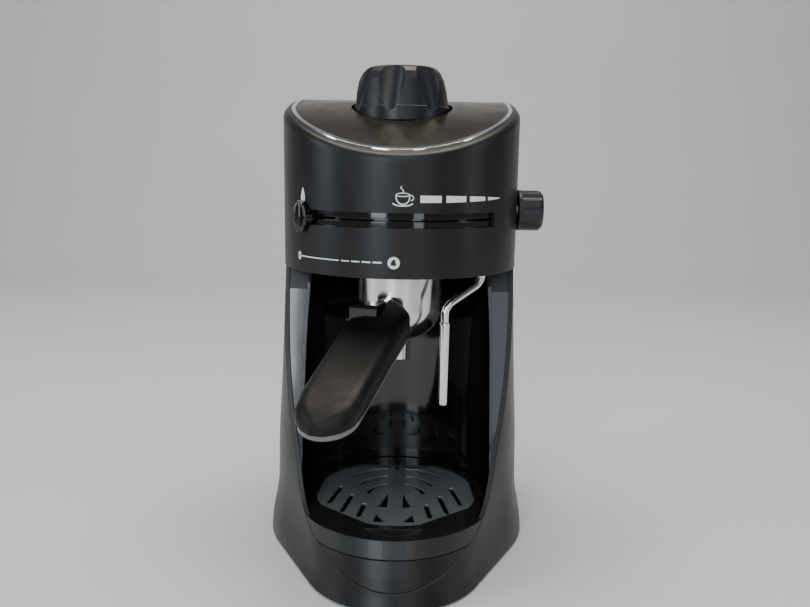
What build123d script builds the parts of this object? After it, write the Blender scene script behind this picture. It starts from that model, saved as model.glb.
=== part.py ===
"""Small steam espresso machine: a brewing head on a hollow column over a drip tray.

Millimetres, +Z up, -Y is the front. The origin is on the brewing axis, at the height of the
surface that the machine stands on. Angles called azimuth are measured about +Z from the
front, and are positive towards +X, the side of the steam knob.
"""
from build123d import *
from math import acos, asin, atan2, cos, degrees, hypot, radians, sin
import os

# ---------------------------------------------------------------- driving dimensions
HEAD_R = 79.0            # radius of the head in front
HEAD_Z = 194.5           # underside of the head
BACK_Y = 96.0            # flat back of head and column
BACK_CORNER = 34.0       # radius of the two back corners
HEAD_WALL = 3.0

# top of the head: one round surface through three heights over the middle plane
TOP_FRONT_Z = 267.2
TOP_MID_Z = 299.6
TOP_BACK_Z = 305.5
TOP_EDGE_R = 5.0         # rounding of the head's top edge
TRIM_INSET = 5.5         # bright trim ring, from the head's side
TRIM_W = 2.4
TRIM_PROUD = 0.7
LID_T = 2.2
LEDGE = 5.0              # rim under the lid

# column: height, nose centre y, nose radius, side y, extra side radius, extra back
SHELL_WALL = 2.8
SHELL_BOTTOM = 1.5
NECK_INSET = 0.7         # the column's top is this much inside the head
STATIONS = (
    (SHELL_BOTTOM, -62.0, 59.0, 8.0, 12.5, 8.0),
    (12.0, -60.0, 57.0, 6.0, 11.3, 7.0),
    (40.0, -40.0, 65.0, 4.0, 6.5, 4.0),
    (75.0, -14.0, 75.0, 2.0, 5.4, 2.0),
    (112.0, -6.0, 76.5, 0.0, 3.0, 1.0),
)
LEVELS = 4               # steps of the form from one station to the next
# front edge of the column's sides, as y and z from the foot upwards
FRONT_EDGE = ((-118.0, 10.5), (-88.0, 28.0), (-66.0, 43.0), (-45.0, 88.0), (-27.0, 140.0))
FRONT_EDGE_TOP_Y = -10.0

CAVITY_R = 62.0          # half width of the space for the cups, and radius of its back
CAVITY_Y = -28.0         # centre of the round back
LINER_WALL = 2.2
STRIP_DEPTH = 3.0        # glossy strips on the front of the two sides
STRIP_SET = 0.8          # how far they lie behind the shell's edge
BLOCK_H = 17.0           # dull blocks above the strips

# base and drip tray
SEAT_TOP = 28.5          # shelf that carries the drip tray, and top of the lower front panel
SEAT_T = 2.5
LAP_T = 2.2
PANEL_SET = 0.3          # the front panel lies this much inside the shell's face
SEAM = 0.3               # open seam between outer pieces
TRAY_TOP = 39.0
TRAY_GAP = 1.5           # tray to the wall of the cavity
TRAY_RIM_Z = 29.1
TRAY_FLOOR = 20.0
TRAY_WALL = 2.0
BOWL_HALF = 46.0         # half width of the tray's bowl
BOWL_FRONT = -82.0
BOWL_BACK = 22.0
GRIP_Y, GRIP_HALF, GRIP_DEPTH = -94.8, 18.0, 5.0   # finger recess in the tray's rim
BASE_T = 2.5
BASE_Z = 2.0             # underside of the base plate
FOOT_W = 7.0
FOOT_INSET = 9.0
SCREWS = ((-62.0, -30.0), (62.0, -30.0), (-58.0, 66.0), (58.0, 66.0))

# drip grille: nose, two ears and back, as x, y and radius of the rounds
GRILLE_T = 1.8
GRILLE_SET = 1.2         # the grille's top is this much below the tray's rim
GRILLE_GAP = 0.5
GRILLE_NOSE = (0.0, -58.0, 28.5)
GRILLE_EAR = (45.0, -46.0, 9.5)
GRILLE_SIDE = (22.0, -15.0, 30.0)
GRILLE_BACK = (0.0, -17.0, 43.0)
# slots of one half: arcs through three points, straight slots, triangles
GRILLE_ARCS = (((7.7, 10.5), (20.6, 6.6), (31.3, -2.2)), ((7.3, -3.6), (17.6, -8.1), (25.5, -16.9)),
               ((7.0, -18.0), (14.1, -21.7), (18.9, -31.0)))
GRILLE_LINES = (((38.6, -23.0), (44.3, -48.5)), ((30.1, -36.8), (34.5, -61.5)),
                ((20.7, -51.0), (23.2, -68.2)))
GRILLE_CORNERS = (((5.2, -33.0), (5.2, -55.2), (11.4, -54.3)), ((11.6, -64.3), (13.6, -76.5), (4.8, -76.5)))
SLOT_W = 3.4

# screw cap of the boiler
CAP_R = 32.0
CAP_Z = 289.5
CAP_TOP = 325.0
CAP_TOP_R = 21.0
CAP_SKIRT = 9.5
CAP_FLUTES = 7
FLUTE_R, FLUTE_LEAN = 15.0, 21.0
FLUTE_AZ = -13.0         # azimuth of the flute nearest the front
WELL_GAP = 2.0
WELL_FLOOR = 283.0
INSERT_R = 18.0
VALVE_R = 4.0

# boiler and brewing group, heights above the head's underside
BOILER_R = 44.0
BOILER_WALL = 4.0
BOILER_LOW = 16.0
BOILER_HIGH = 85.0
MOUTH_R = 19.8           # filling opening
NECK_WALL = 4.2
GROUP_PLATE_T = 4.0
COLLAR_R = 39.0
COLLAR_WALL = 2.2
SCREEN_R = 25.0
LIP_T = 2.3
LUG_T = 3.4
LUGS = 3
LUG_ANGLE = 26.0
ENTRY_TURN = 35.5        # turn from rest back to where the lugs drop out
BRACKET_Y = 10.0
BRACKET_END = 5.0        # bracket's ends to the inside of the head
FIT = 0.3                # clearance between moving pieces

# portafilter, depths below the head's underside
CUP_R = 30.0
CUP_WALL = 2.0
CUP_RIM = 6.4            # above the underside
CUP_DEPTH = 52.5
CUP_ROUND = 23.0
SPOUT_L = 15.0
BASKET_DEPTH = 24.0
HANDLE_AZ = -17.0        # azimuth at rest
HANDLE_TIP = 150.0       # distance of the handle's tip from the axis
HANDLE_END = (2.75, 19.25)     # round tip and round neck in plan: sideways place, radius
HANDLE_NECK = (4.5, 19.5)
HANDLE_EDGE_R = 7.0      # rounding of its upper edges
# distance from the axis, drop of the top and of the underside below the head
HANDLE_ROWS = ((33.0, 20.0, 37.5), (58.0, 26.5, 45.0), (100.0, 43.5, 61.0), (138.0, 61.0, 75.5),
               (150.0, 69.5, 79.5))
HANDLE_LEVELS = 4
INSERT_T = 3.6           # bright strip along the handle's underside
BOSS_DROP, BOSS_R = 27.0, 6.5
CLIP_X = (-15.0, 3.5)
CLIP_Y = (-57.0, -39.5)
CLIP_T = 13.0
CLIP_DROP = 21.0
NOTCH_DROP = 30.5        # floor of the notch around the clip
NOTCH_END = 68.0         # where it runs out in front, from the axis

# steam side
KNOB_Z = 232.0
KNOB_R = 13.8
KNOB_L = 16.5
KNOB_OFF = 1.0
KNOB_FLUTES, KNOB_FLUTE_R = 8, 5.0
STEM_R = 3.0
VALVE_NOSE_R = 6.0
WAND_X, WAND_Y = 55.0, -25.0
WAND_R = 2.75
SLEEVE_R = 3.5
SOCKET_R = 5.2
SOCKET_H = 14.0
WAND_RUN = (31.0, -36.0)  # plan position of the upright part
WAND_BEND = 24.0          # the bend's depth below the head
SLEEVE_DROP = 34.0        # top of the sleeve below the head
WAND_LENGTH = 91.5        # tip below the head

# strength selector in the front of the head
SLOT_LOW, SLOT_HIGH = 224.8, 234.0
SLOT_AZ = (-55.0, 49.5)
LEVER_AZ = -49.5
LEVER_W, LEVER_H, LEVER_OUT = 15.0, 20.5, 7.0
TRACK_T = 2.0
TRACK_ROOM = 4.0
BLADE_T = 0.8
BLADE_GAP = 0.4
SHOE_ANGLE = 5.0

# mains side, on the back
ROCKER_Z, ROCKER_W, ROCKER_H = 150.0, 15.0, 21.0
ROCKER_TILT = 8.0
GLAND_Z, GLAND_R, GLAND_HOLE = 50.0, 7.0, 3.6

OUT = "parts"


# ---------------------------------------------------------------- plain shapes
def disc(r, z0, z1, x=0.0, y=0.0):
    return Pos(x, y, (z0 + z1) / 2) * Cylinder(r, z1 - z0)


def tube(r, hole, z0, z1, x=0.0, y=0.0):
    return disc(r, z0, z1, x, y) - disc(hole, z0 - 1, z1 + 1, x, y)


def block(x0, x1, y0, y1, z0, z1):
    return Pos((x0 + x1) / 2, (y0 + y1) / 2, (z0 + z1) / 2) * Box(x1 - x0, y1 - y0, z1 - z0)


def prism(face, z0, z1):
    return extrude(Pos(0, 0, z0) * face, z1 - z0, dir=(0, 0, 1))


def outline(circles):
    """Face inside the belt pulled tight round a ring of circles (x, y, r), anticlockwise."""
    turns = []
    for (x0, y0, r0), (x1, y1, r1) in zip(circles, circles[1:] + circles[:1]):
        along = atan2(y1 - y0, x1 - x0)
        turns.append(along - acos((r0 - r1) / hypot(x1 - x0, y1 - y0)))
    edges = []
    for i, (x, y, r) in enumerate(circles):
        start, end = turns[i - 1], turns[i]
        edges.append(CenterArc((x, y), r, degrees(start), degrees(end - start) % 360))
        nx, ny, nr = circles[(i + 1) % len(circles)]
        a = (x + r * cos(end), y + r * sin(end))
        edges.append(Line(a, (nx + nr * cos(end), ny + nr * sin(end))))
    return make_face(edges)


def sector(r0, r1, az0, az1):
    """Flat piece of a ring between two azimuths."""
    outer = CenterArc((0, 0), r1, az0 - 90, az1 - az0)
    inner = CenterArc((0, 0), r0, az0 - 90, az1 - az0)
    return make_face([outer, inner, Line(inner @ 0, outer @ 0), Line(inner @ 1, outer @ 1)])


def arc_wall(r0, r1, z0, z1, az0, az1):
    return prism(sector(r0, r1, az0, az1), z0, z1)


def turned(points):
    """Solid turned about Z from a closed run of (radius, z) points."""
    return revolve(Plane.XZ * make_face(Polyline(*points, close=True)), Axis.Z, 360)


def side_prism(face, half):
    """Extrude a face drawn in y and z over -half..half in x."""
    return extrude(Plane.YZ * face, half, both=True)


def along_y(r, y0, y1, x, z):
    return Pos(x, (y0 + y1) / 2, z) * (Rot(90, 0, 0) * Cylinder(r, abs(y1 - y0)))


def along_x(shape, x0):
    """Turn a shape built upwards from z = 0 so that it points along +X from x0."""
    return Pos(x0, 0, KNOB_Z) * (Rot(0, 90, 0) * shape)


def pipe(path, r):
    return sweep(Plane(origin=path @ 0, z_dir=path % 0) * Circle(r), path)


# ---------------------------------------------------------------- shared surfaces
def head_face(inset):
    r, c = HEAD_R - inset, BACK_CORNER - inset
    x, y = HEAD_R - BACK_CORNER, BACK_Y - BACK_CORNER
    return outline([(0, 0, r), (x, y, c), (-x, y, c)])


def under_top(lift):
    """All space under the head's round top surface, which is moved up by lift."""
    y0, y1, y2 = -HEAD_R, 0.0, BACK_Y
    z0, z1, z2 = TOP_FRONT_Z, TOP_MID_Z, TOP_BACK_Z
    d = 2 * (y0 * (z1 - z2) + y1 * (z2 - z0) + y2 * (z0 - z1))
    s0, s1, s2 = y0 ** 2 + z0 ** 2, y1 ** 2 + z1 ** 2, y2 ** 2 + z2 ** 2
    cy = (s0 * (z1 - z2) + s1 * (z2 - z0) + s2 * (z0 - z1)) / d
    cz = (s0 * (y2 - y1) + s1 * (y0 - y2) + s2 * (y1 - y0)) / d
    radius = hypot(y0 - cy, z0 - cz) + lift
    return Pos(0, cy, cz) * (Rot(0, 90, 0) * Cylinder(radius, 3 * HEAD_R))


def station_face(nose_y, nose_r, side_y, side_r, back_y, inset):
    c = BACK_CORNER - inset
    x, y = side_r - BACK_CORNER, back_y - BACK_CORNER
    nose, side = (0, nose_y, nose_r - inset), (0, side_y, side_r - inset)
    return outline([nose, side, (x, y, c), (-x, y, c), side])


def stations():
    """Rows of the column's form from the foot to the head."""
    rows = [(z, ny, nr, sy, HEAD_R + r, BACK_Y + b) for z, ny, nr, sy, r, b in STATIONS]
    top_r = HEAD_R - NECK_INSET
    return rows + [(HEAD_Z, -4.0, top_r - 1.8, 0.0, top_r, BACK_Y - NECK_INSET)]


def slopes(heights, values):
    """Slope at each station that keeps the curve through the values free of waves."""
    steps = [(b - a) / (q - p) for a, b, p, q in zip(values, values[1:], heights, heights[1:])]
    inner = [0.0 if a * b <= 0 else 2 * a * b / (a + b) for a, b in zip(steps, steps[1:])]
    return [steps[0], *inner, steps[-1]]


def between(rows, i, share):
    """Row part of the way from station i to the next, on smooth curves."""
    heights = [row[0] for row in rows]
    rise = heights[i + 1] - heights[i]
    result = [heights[i] + rise * share]
    for k in range(1, len(rows[0])):
        values = [row[k] for row in rows]
        m = slopes(heights, values)
        a, b, da, db = values[i], values[i + 1], rise * m[i], rise * m[i + 1]
        s = share
        result.append(a + s * da + s * s * (3 * (b - a) - 2 * da - db)
                      + s ** 3 * (2 * (a - b) + da + db))
    return result


def column(inset, over=0.0):
    """The column's outer form, drawn in by inset and made longer by over at both ends."""
    rows = stations()
    levels = [between(rows, i, k / LEVELS) for i in range(len(rows) - 1) for k in range(LEVELS)]
    levels.append(list(rows[-1]))
    if over:
        (z0, *low), (z1, *high) = levels[0], levels[-1]
        levels = [[z0 - over, *low], *levels, [z1 + over, *high]]
    return loft([Pos(0, 0, z) * station_face(*rest, inset) for z, *rest in levels], ruled=True)


def before_edge(shift):
    """Space in front of the sides' front edge, moved back by shift."""
    points = [(y + shift, z) for y, z in FRONT_EDGE] + [(FRONT_EDGE_TOP_Y + shift, HEAD_Z + 2)]
    edge = Spline(*points)
    far, low = FRONT_EDGE[0][0] - 60, FRONT_EDGE[0][1]
    rim = Polyline(points[-1], (points[-1][0], HEAD_Z + 40), (far, HEAD_Z + 40), (far, low), points[0])
    return side_prism(make_face([edge, *rim.edges()]), HEAD_R + 40)


def cavity(grow, z0, z1):
    """The cup space, grown by grow and open far to the front."""
    r = CAVITY_R + grow
    return block(-r, r, -200, CAVITY_Y, z0, z1) + disc(r, z0, z1, 0, CAVITY_Y)


# ---------------------------------------------------------------- column and base
def outer_shell():
    shell = column(0) - column(SHELL_WALL, 2.0) - before_edge(0)
    shell -= Pos(0, BACK_Y, ROCKER_Z) * Box(ROCKER_W, 30, ROCKER_H)
    return shell - along_y(GLAND_R, BACK_Y - 20, BACK_Y + 20, 0, GLAND_Z)


def front_panel():
    """Lower front wall under the drip tray, with a lap that is fixed behind the shell."""
    low = FRONT_EDGE[0][1] - 5
    face = column(PANEL_SET) & before_edge(-SEAM) & block(-90, 90, -150, 0, low, SEAT_TOP)
    wall = face - column(SHELL_WALL)
    lap = column(SHELL_WALL) - column(SHELL_WALL + LAP_T, 2.0)
    return wall + (lap & block(-90, 90, -150, -60, low, SEAT_TOP - SEAT_T))


def bowl(grow, z0, z1):
    r = BOWL_HALF + grow
    front, back = (0, BOWL_FRONT + BOWL_HALF, r), (0, BOWL_BACK - BOWL_HALF, r)
    return prism(outline([front, back]), z0, z1)


def tray_seat():
    """Shelf inside the column that carries the drip tray and the liner."""
    shelf = column(SHELL_WALL) & block(-120, 120, -150, 130, SEAT_TOP - SEAT_T, SEAT_TOP)
    return shelf - bowl(1.5, SEAT_TOP - 10, SEAT_TOP + 10)


def inner_liner():
    """Glossy wall round the cup space, standing on the shelf."""
    wall = cavity(LINER_WALL, SEAT_TOP, HEAD_Z) - cavity(0, 0, HEAD_Z + 9)
    return (wall & column(SHELL_WALL)) - before_edge(STRIP_SET)


def side_strips():
    """Glossy strips that close the front of the two sides, and the dull blocks above them."""
    band = before_edge(STRIP_SET + STRIP_DEPTH) - before_edge(STRIP_SET)
    band &= block(0, 120, -150, 60, TRAY_TOP - 1, HEAD_Z)
    band = (band & column(SHELL_WALL)) - cavity(LINER_WALL, 0, HEAD_Z + 9)
    tops = block(0, 120, -150, 60, HEAD_Z - BLOCK_H, HEAD_Z + 1)
    strip, cap = band - tops, band & tops
    return {
        "side_strip_right": strip, "side_strip_left": mirror(strip, Plane.YZ),
        "strip_block_right": cap, "strip_block_left": mirror(cap, Plane.YZ),
    }


def screw(head_r, shank_r, z, head_t, length, x, y):
    """Cross-head screw seen from below, its head at z."""
    body = disc(head_r, z, z + head_t, x, y) + disc(shank_r, z, z + length, x, y)
    for turn in (0, 90):
        body -= Pos(x, y, z) * (Rot(0, 0, turn) * Box(head_r * 1.1, 0.8, 1.6))
    return body


def base_plate():
    plate = column(SHELL_WALL) & block(-130, 130, -150, 130, BASE_Z, BASE_Z + BASE_T)
    for x, y in SCREWS:
        plate += disc(5.0, BASE_Z, SEAT_TOP - SEAT_T, x, y)
        plate -= disc(3.8, BASE_Z - 1, BASE_Z + 2.2, x, y) + disc(1.7, 0, 20, x, y)
    return plate


def base_screws():
    return sum((screw(3.4, 1.7, BASE_Z + 0.2, 2.0, 12.0, x, y) for x, y in SCREWS), Part())


def foot_ring():
    z, *low = STATIONS[0]
    low = (low[0], low[1], low[2], HEAD_R + low[3], BACK_Y + low[4])
    ring = station_face(*low, FOOT_INSET) - station_face(*low, FOOT_INSET + FOOT_W)
    return prism(ring, 0, BASE_Z)


# ---------------------------------------------------------------- drip tray
def grille_plan(grow, z0, z1):
    """Shield shape: a nose in front, two ears at the sides and a round back."""
    (ex, ey, er), (sx, sy, sr) = GRILLE_EAR, GRILLE_SIDE
    nose, back = GRILLE_NOSE, GRILLE_BACK
    rounds = [nose, (ex, ey, er), (sx, sy, sr), (-sx, sy, sr), (-ex, ey, er)]
    return prism(outline([(x, y, r + grow) for x, y, r in rounds]), z0, z1) \
        & disc(back[2] + 12 + grow, z0, z1, back[0], back[1] - 12)


def drip_tray():
    """Rim that follows the front of the column, over a shallow bowl."""
    rim = (column(PANEL_SET) & before_edge(-SEAM)) + column(SHELL_WALL + TRAY_GAP)
    rim &= cavity(-TRAY_GAP, TRAY_RIM_Z, TRAY_TOP)
    tray = rim + bowl(0, TRAY_FLOOR, TRAY_RIM_Z + 1)
    tray -= bowl(-TRAY_WALL, TRAY_FLOOR + TRAY_WALL, TRAY_TOP + 1) & grille_plan(-2.5, 0, TRAY_TOP)
    low = TRAY_TOP - GRILLE_SET - GRILLE_T
    tray -= grille_plan(GRILLE_GAP, low, TRAY_TOP + 1)
    grip_r = (GRIP_HALF ** 2 + GRIP_DEPTH ** 2) / (2 * GRIP_DEPTH)
    grip = along_y(grip_r, GRIP_Y - 6.0, GRIP_Y + 6.0, 0, TRAY_TOP + grip_r - GRIP_DEPTH)
    return tray - (grip & block(-90, 90, -150, 0, 0, TRAY_TOP + 1))


def slot(line, z0, z1):
    """Slot with round ends along a line or arc."""
    bar = prism(trace(line, SLOT_W), z0, z1)
    for end in (line @ 0, line @ 1):
        bar += disc(SLOT_W / 2, z0, z1, end.X, end.Y)
    return bar


def grille_cuts(z0, z1):
    """Openings on the +X side: arcs behind, straight slots at the side, two triangles in the middle."""
    cuts = [slot(ThreePointArc(*points), z0, z1) for points in GRILLE_ARCS]
    cuts += [slot(Line(*ends), z0, z1) for ends in GRILLE_LINES]
    for corners in GRILLE_CORNERS:
        cuts.append(prism(make_face(Polyline(*corners, close=True)), z0, z1))
    return cuts


def drip_grille():
    top = TRAY_TOP - GRILLE_SET
    plate = grille_plan(0, top - GRILLE_T, top)
    for cut in grille_cuts(top - GRILLE_T - 1, top + 1):
        plate -= cut
        plate -= mirror(cut, Plane.YZ)
    back = plate.bounding_box().max.Y
    return plate - block(-1.5, 1.5, back - 4, back + 2, top - 9, top + 9)


# ---------------------------------------------------------------- head
def head_shell():
    tall = TOP_BACK_Z + 40
    body = prism(head_face(0), HEAD_Z, tall) & under_top(0)
    body = fillet(body.faces().sort_by(Axis.Z)[-1].edges(), TOP_EDGE_R)
    body -= prism(head_face(HEAD_WALL), HEAD_Z - 1, tall) & under_top(-2 * HEAD_WALL)
    body -= prism(head_face(TRIM_INSET + LEDGE), HEAD_Z, tall)
    body -= prism(head_face(TRIM_INSET), HEAD_Z, tall) - under_top(-LID_T)
    body -= arc_wall(HEAD_R - 12, HEAD_R + 9, SLOT_LOW, SLOT_HIGH, *SLOT_AZ)
    return body - along_x(disc(STEM_R + 2.5, 0, 40), HEAD_R - 20)


def chrome_trim():
    band = head_face(TRIM_INSET) - head_face(TRIM_INSET + TRIM_W)
    return (prism(band, HEAD_Z, TOP_BACK_Z + 40) & under_top(TRIM_PROUD)) - under_top(-LID_T)


def head_lid():
    """Gently curved cover plate with a well for the boiler's cap."""
    well_r = CAP_R + WELL_GAP
    lid = prism(head_face(TRIM_INSET + TRIM_W), HEAD_Z, TOP_BACK_Z + 40)
    lid = (lid & under_top(0.2)) - under_top(-LID_T)
    lid += disc(well_r + 1.8, WELL_FLOOR - 1.6, TOP_BACK_Z + 9) & under_top(-1.0)
    lid -= disc(well_r, WELL_FLOOR, TOP_BACK_Z + 20)
    return lid - disc(MOUTH_R + NECK_WALL, HEAD_Z, TOP_BACK_Z + 9)


def head_underplate():
    plate = prism(head_face(HEAD_WALL), HEAD_Z, HEAD_Z + 2.5)
    plate -= disc(COLLAR_R, HEAD_Z - 1, HEAD_Z + 4)
    return plate - disc(SOCKET_R, HEAD_Z - 1, HEAD_Z + 9, WAND_X, WAND_Y)


# ---------------------------------------------------------------- boiler and its cap
def boiler():
    low, high = HEAD_Z + BOILER_LOW, HEAD_Z + BOILER_HIGH
    body = disc(BOILER_R, low, high) + disc(MOUTH_R + NECK_WALL, high, WELL_FLOOR + 1.0)
    body += disc(COLLAR_R - COLLAR_WALL - FIT, low - GROUP_PLATE_T, low)
    body -= disc(BOILER_R - BOILER_WALL, low + BOILER_WALL, high - BOILER_WALL)
    body -= disc(MOUTH_R, high - BOILER_WALL - 1, WELL_FLOOR + 9)
    body -= disc(2.5, low - GROUP_PLATE_T - 1, low + BOILER_WALL + 1, 12, 0)
    return body - along_x(disc(VALVE_NOSE_R, 0, 20), BOILER_R - 10)


def boiler_heater():
    low = HEAD_Z + BOILER_LOW + 3
    ring = tube(BOILER_R + 7, BOILER_R, low, low + 9)
    return ring - arc_wall(BOILER_R - 5, BOILER_R + 12, low - 1, low + 10, 160, 200)


def bracket_x():
    return HEAD_R - HEAD_WALL - BRACKET_END


def boiler_bracket():
    """Steel plate that holds the boiler over the head's floor."""
    z = HEAD_Z + BOILER_LOW
    x = bracket_x()
    plate = block(-x, x, BRACKET_Y - 12, BRACKET_Y + 12, z - 1.5, z)
    plate -= disc(COLLAR_R + 1, z - 3, z + 3)
    for side in (-1, 1):
        plate += disc(4.5, HEAD_Z + 2.5, z, side * (x - 7), BRACKET_Y)
        plate -= disc(1.5, HEAD_Z, z + 5, side * (x - 7), BRACKET_Y)
    return plate


def bracket_screws():
    z = HEAD_Z + BOILER_LOW
    group = Part()
    for side in (-1, 1):
        x = side * (bracket_x() - 7)
        group += disc(3.2, z, z + 1.8, x, BRACKET_Y) + disc(1.5, z - 9, z, x, BRACKET_Y)
    return group


def thermostat():
    z = HEAD_Z + 46
    return along_y(8, BOILER_R, BOILER_R + 6, 0, z) \
        + block(-11, 11, BOILER_R + 6, BOILER_R + 8, z - 2.5, z + 2.5)


def thermal_fuse():
    return Pos(0, BOILER_R + 2.2, HEAD_Z + 64) * (Rot(0, 90, 0) * Cylinder(2.2, 16))


def group_collar():
    """Ring with three gaps in its lower lip, for the portafilter's lugs."""
    low, wall_r = HEAD_Z, COLLAR_R - COLLAR_WALL
    lip = tube(COLLAR_R, CUP_R + 2.2, low, low + LIP_T)
    half = LUG_ANGLE / 2 + 2.5
    for i in range(LUGS):
        az = HANDLE_AZ - ENTRY_TURN + 360 / LUGS * i
        lip -= arc_wall(CUP_R, wall_r, low - 1, low + 9, az - half, az + half)
    return tube(COLLAR_R, wall_r, low, HEAD_Z + BOILER_LOW) + lip


def group_gasket():
    low = HEAD_Z + CUP_RIM + 1.0 + FIT
    return tube(CUP_R + 2.5, SCREEN_R, low, HEAD_Z + BOILER_LOW - GROUP_PLATE_T)


def shower_screen():
    high = HEAD_Z + BOILER_LOW - GROUP_PLATE_T
    return disc(SCREEN_R, high - 1.2, high) - disc(1.9, high - 3, high + 1)


def screen_screw():
    z = HEAD_Z + BOILER_LOW - GROUP_PLATE_T
    return disc(4.0, z - 2.4, z - 1.2) + disc(1.9, z - 2.4, z)


def cap_knob():
    """Hand grip of the screw cap: plain skirt, fluted sides that lean in, round shoulder."""
    z, h, r = CAP_Z, CAP_TOP - CAP_Z, CAP_R
    grip = turned([(0, z), (r - 0.8, z), (r, z + 0.8), (r, z + CAP_SKIRT),
                   (r - 0.6, z + CAP_SKIRT + 0.5), (r - 1.6, z + 0.55 * h), (r - 3.0, z + 0.75 * h),
                   (r - 5.5, z + 0.89 * h), (r - 8.5, z + 0.97 * h), (CAP_TOP_R, z + h), (0, z + h)])
    flute = Pos(0, -(r + FLUTE_R), z + CAP_SKIRT) * (Rot(-FLUTE_LEAN, 0, 0) * Cylinder(FLUTE_R, 90))
    for i in range(CAP_FLUTES):
        grip -= Rot(0, 0, FLUTE_AZ + 360 / CAP_FLUTES * i) * flute
    return grip - disc(INSERT_R, z - 1, z + 8)


def cap_insert():
    """Plug of the cap, with its thread left plain, hollow for the valve."""
    plug = disc(INSERT_R, CAP_Z, CAP_Z + 8) + disc(CAP_R - 8, CAP_Z - 3, CAP_Z)
    plug += disc(MOUTH_R - FIT, HEAD_Z + BOILER_HIGH - 2, CAP_Z - 3)
    return plug - disc(VALVE_R + 0.06, HEAD_Z, CAP_Z + 3 + FIT)


def cap_gasket():
    low = WELL_FLOOR + 1.0 + FIT
    return tube(MOUTH_R + NECK_WALL - 0.4, MOUTH_R - FIT, low, CAP_Z - 3)


def safety_valve():
    low = HEAD_Z + BOILER_HIGH - 2
    stem = disc(VALVE_R, low - 1, CAP_Z + 3) + disc(VALVE_R + 2.0, low - 3 - FIT, low - FIT)
    return stem - disc(1.2, low - 4, low + 6)


# ---------------------------------------------------------------- steam side
def steam_valve():
    length = HEAD_R - HEAD_WALL - 6 - BOILER_R
    body = disc(VALVE_NOSE_R, -BOILER_WALL + 0.5, 6) + disc(8.0, 0, length)
    body += disc(5.2, length, length + 5)
    body -= disc(STEM_R + 0.06, 8, length + 8) + disc(1.8, -9, 9)
    return along_x(body, BOILER_R) + along_y(4.0, -16, -6, BOILER_R + 14, KNOB_Z)


def steam_stem():
    return along_x(disc(STEM_R, 0, HEAD_R + KNOB_OFF + KNOB_L - 4 - BOILER_R - 9), BOILER_R + 9)


def steam_knob():
    grip = disc(KNOB_R, 0, KNOB_L)
    for i in range(KNOB_FLUTES):
        flute = disc(KNOB_FLUTE_R, 2.0, KNOB_L + 1, 0, -(KNOB_R + KNOB_FLUTE_R - 1.4))
        grip -= Rot(0, 0, 360 / KNOB_FLUTES * i) * flute
    grip &= turned([(0, 0), (KNOB_R, 0), (KNOB_R, KNOB_L - 2.5), (KNOB_R - 2.2, KNOB_L), (0, KNOB_L)])
    grip -= disc(STEM_R, -1, KNOB_L - 4) + tube(KNOB_R - 3.5, STEM_R + 2.2, -1, KNOB_L - 6)
    return along_x(grip, HEAD_R + KNOB_OFF)


def steam_pipe():
    """Bent tube from the valve to the wand's socket."""
    x, high = BOILER_R + 14, HEAD_Z + SOCKET_H
    path = FilletPolyline((x, -16, KNOB_Z), (x, WAND_Y, KNOB_Z), (WAND_X, WAND_Y, KNOB_Z - 12),
                          (WAND_X, WAND_Y, high), radius=2.6)
    return pipe(path, 2.0)


def wand_socket():
    low, high = HEAD_Z - 1.0, HEAD_Z + SOCKET_H
    body = disc(SOCKET_R, low, high, WAND_X, WAND_Y)
    body += disc(SOCKET_R + 3, HEAD_Z + 2.5, HEAD_Z + 5, WAND_X, WAND_Y)
    body -= disc(WAND_R + 0.06, low - 1, high - 4, WAND_X, WAND_Y)
    return body - disc(1.5, high - 5, high + 1, WAND_X, WAND_Y)


def steam_wand():
    """Bent tube that swings in its socket."""
    x, y = WAND_RUN
    path = FilletPolyline((WAND_X, WAND_Y, HEAD_Z + SOCKET_H - 4.5), (WAND_X, WAND_Y, HEAD_Z - 9),
                          (x, y, HEAD_Z - WAND_BEND), (x, y, HEAD_Z - SLEEVE_DROP - 8), radius=10.0)
    return pipe(path, WAND_R) + disc(WAND_R + 1.4, HEAD_Z - 4, HEAD_Z - 1.3, WAND_X, WAND_Y)


def wand_sleeve():
    x, y = WAND_RUN
    low, high = HEAD_Z - WAND_LENGTH, HEAD_Z - SLEEVE_DROP
    sleeve = fillet(disc(SLEEVE_R, low, high, x, y).edges(), 1.6)
    return sleeve - disc(WAND_R, high - 8, high + 1, x, y) - disc(1.0, low - 1, high, x, y)


# ---------------------------------------------------------------- portafilter, built with the handle in front
def portafilter_cup():
    rim, low = HEAD_Z + CUP_RIM, HEAD_Z - CUP_DEPTH
    cup = disc(CUP_R, low, rim)
    cup = fillet(cup.edges().sort_by(Axis.Z)[0], CUP_ROUND)
    room = disc(CUP_R - CUP_WALL, low + 6, rim + 1)
    cup -= fillet(room.edges().sort_by(Axis.Z)[0], CUP_ROUND - 3)
    cup -= disc(3.0, low - 1, low + 20)
    lug_z = HEAD_Z + LIP_T + FIT
    for i in range(LUGS):
        az = 360 / LUGS * i
        cup += arc_wall(CUP_R - 1, COLLAR_R - COLLAR_WALL - FIT, lug_z, lug_z + LUG_T,
                        az - LUG_ANGLE / 2, az + LUG_ANGLE / 2)
    boss = along_y(BOSS_R, -(CUP_R + 8), -(CUP_R - 3), 0, HEAD_Z - BOSS_DROP)
    return cup + (boss - disc(CUP_R - 0.5, low, rim))


def portafilter_spout():
    low = HEAD_Z - CUP_DEPTH
    body = turned([(0, low), (9.6, low), (9.0, low - 3), (8.6, low - SPOUT_L), (0, low - SPOUT_L)])
    body -= disc(3.0, low - SPOUT_L + 6, low + 1)
    for side in (-1, 1):
        body -= disc(2.2, low - SPOUT_L - 1, low - SPOUT_L + 7, side * 4.0, 0)
    return body - block(-0.8, 0.8, -20, 20, low - SPOUT_L - 1, low - SPOUT_L + 4)


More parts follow.
